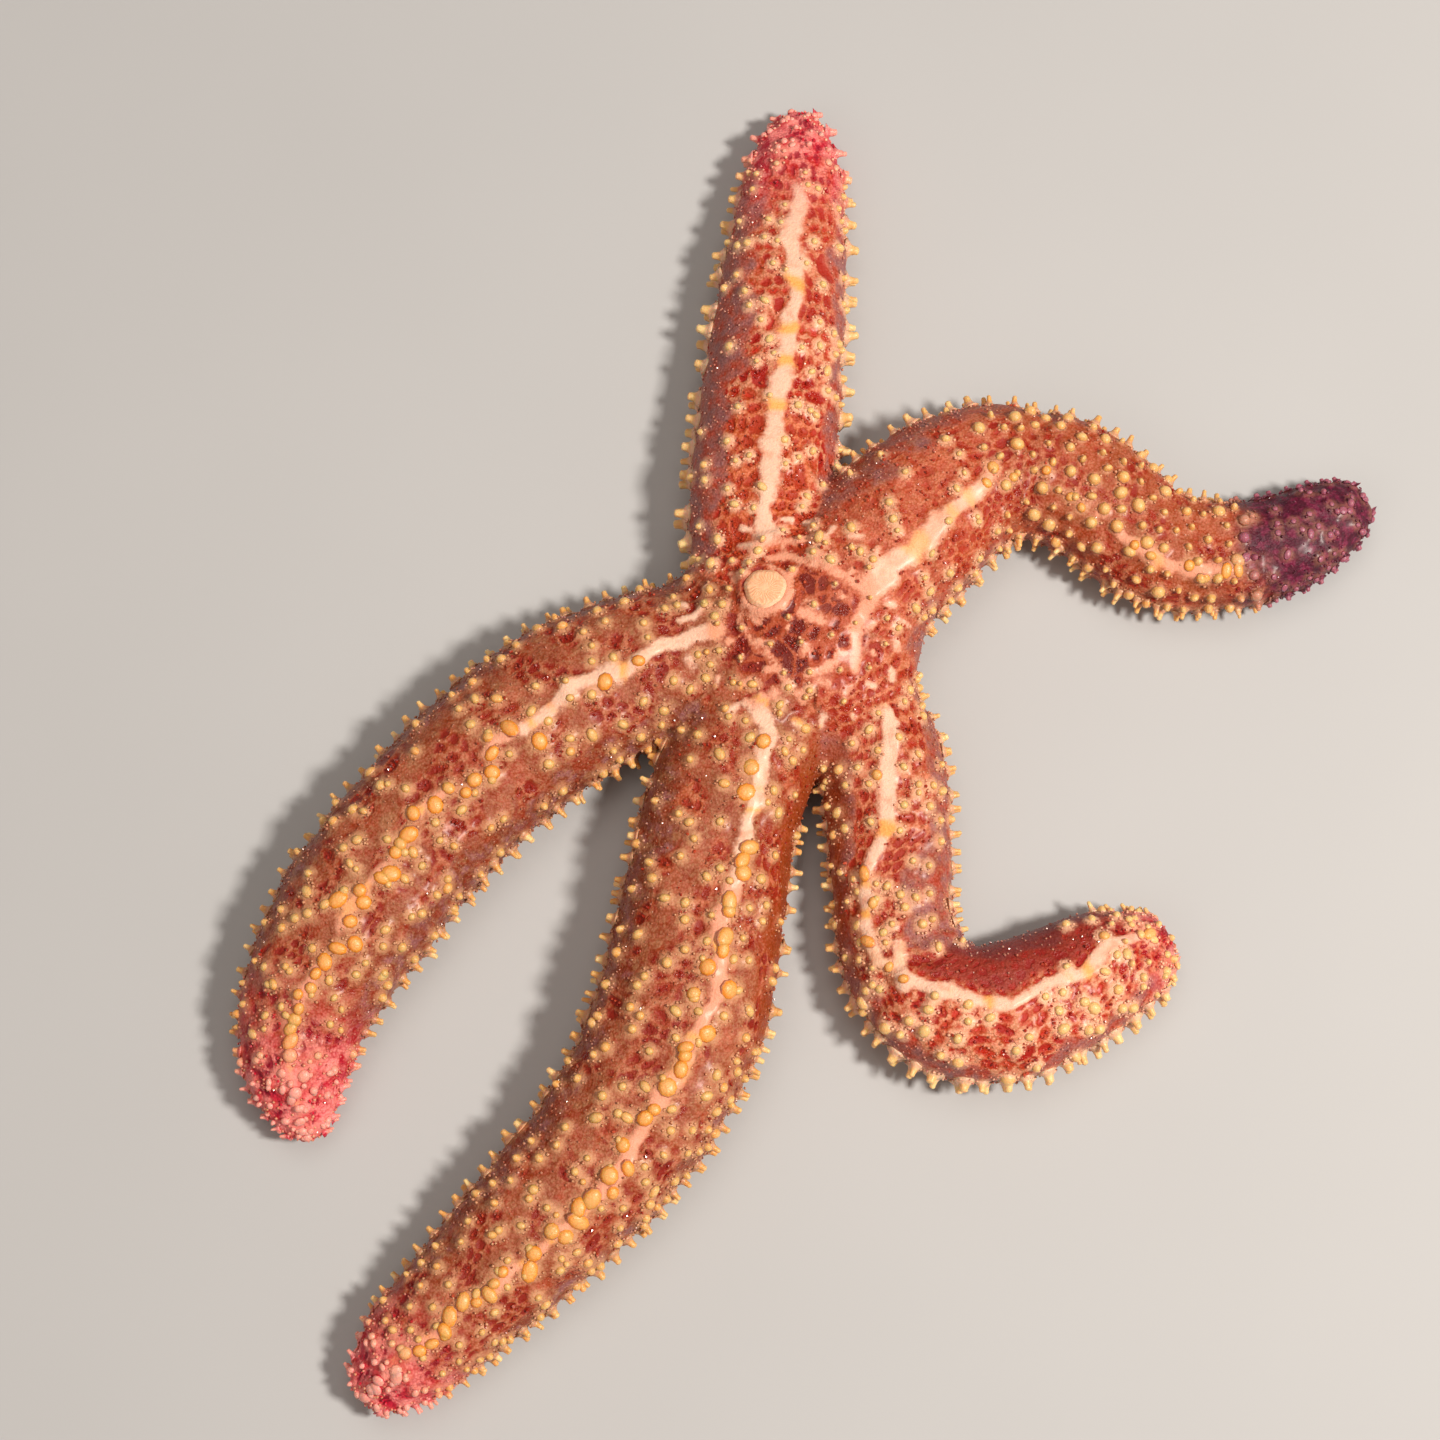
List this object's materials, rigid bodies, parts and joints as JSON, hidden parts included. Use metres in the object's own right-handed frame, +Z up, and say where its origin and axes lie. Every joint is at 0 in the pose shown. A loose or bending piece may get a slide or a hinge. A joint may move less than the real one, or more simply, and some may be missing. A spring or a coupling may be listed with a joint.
{
  "type": "starfish",
  "caption": "Life-size still model of a common starfish lying on its underside, with bent, spiny, tapering arms around a small disc.",
  "frame": {"origin": "on the floor, under the middle of the whole animal's box", "axes": "+Z up; +Y along the animal's longest extent, towards the tip of the straight arm (arm c); +X towards the tip of the S-shaped arm (arm b)"},
  "size_m": [0.1559, 0.1816, 0.0179],
  "materials": {
    "disc_skin": "satin",
    "arm_skin": "satin",
    "tip_skin": "satin",
    "sieve_plate": "satin",
    "spines": "satin",
    "gills": "satin",
    "tube_feet": "satin"
  },
  "bodies": {
    "root": {"arm_a_base": "arm_skin", "arm_a_elbow": "arm_skin", "arm_a_outer": "arm_skin", "arm_a_tip": "tip_skin", "arm_b_base": "arm_skin", "arm_b_elbow": "arm_skin", "arm_b_outer": "arm_skin", "arm_b_tip": "tip_skin", "arm_c_base": "arm_skin", "arm_c_middle": "arm_skin", "arm_c_tip": "tip_skin", "arm_d_base": "arm_skin", "arm_d_middle": "arm_skin", "arm_d_tip": "tip_skin", "arm_e_base": "arm_skin", "arm_e_middle": "arm_skin", "arm_e_tip": "tip_skin", "disc": "disc_skin", "sieve_plate": "sieve_plate"}
  },
  "joints": []
}
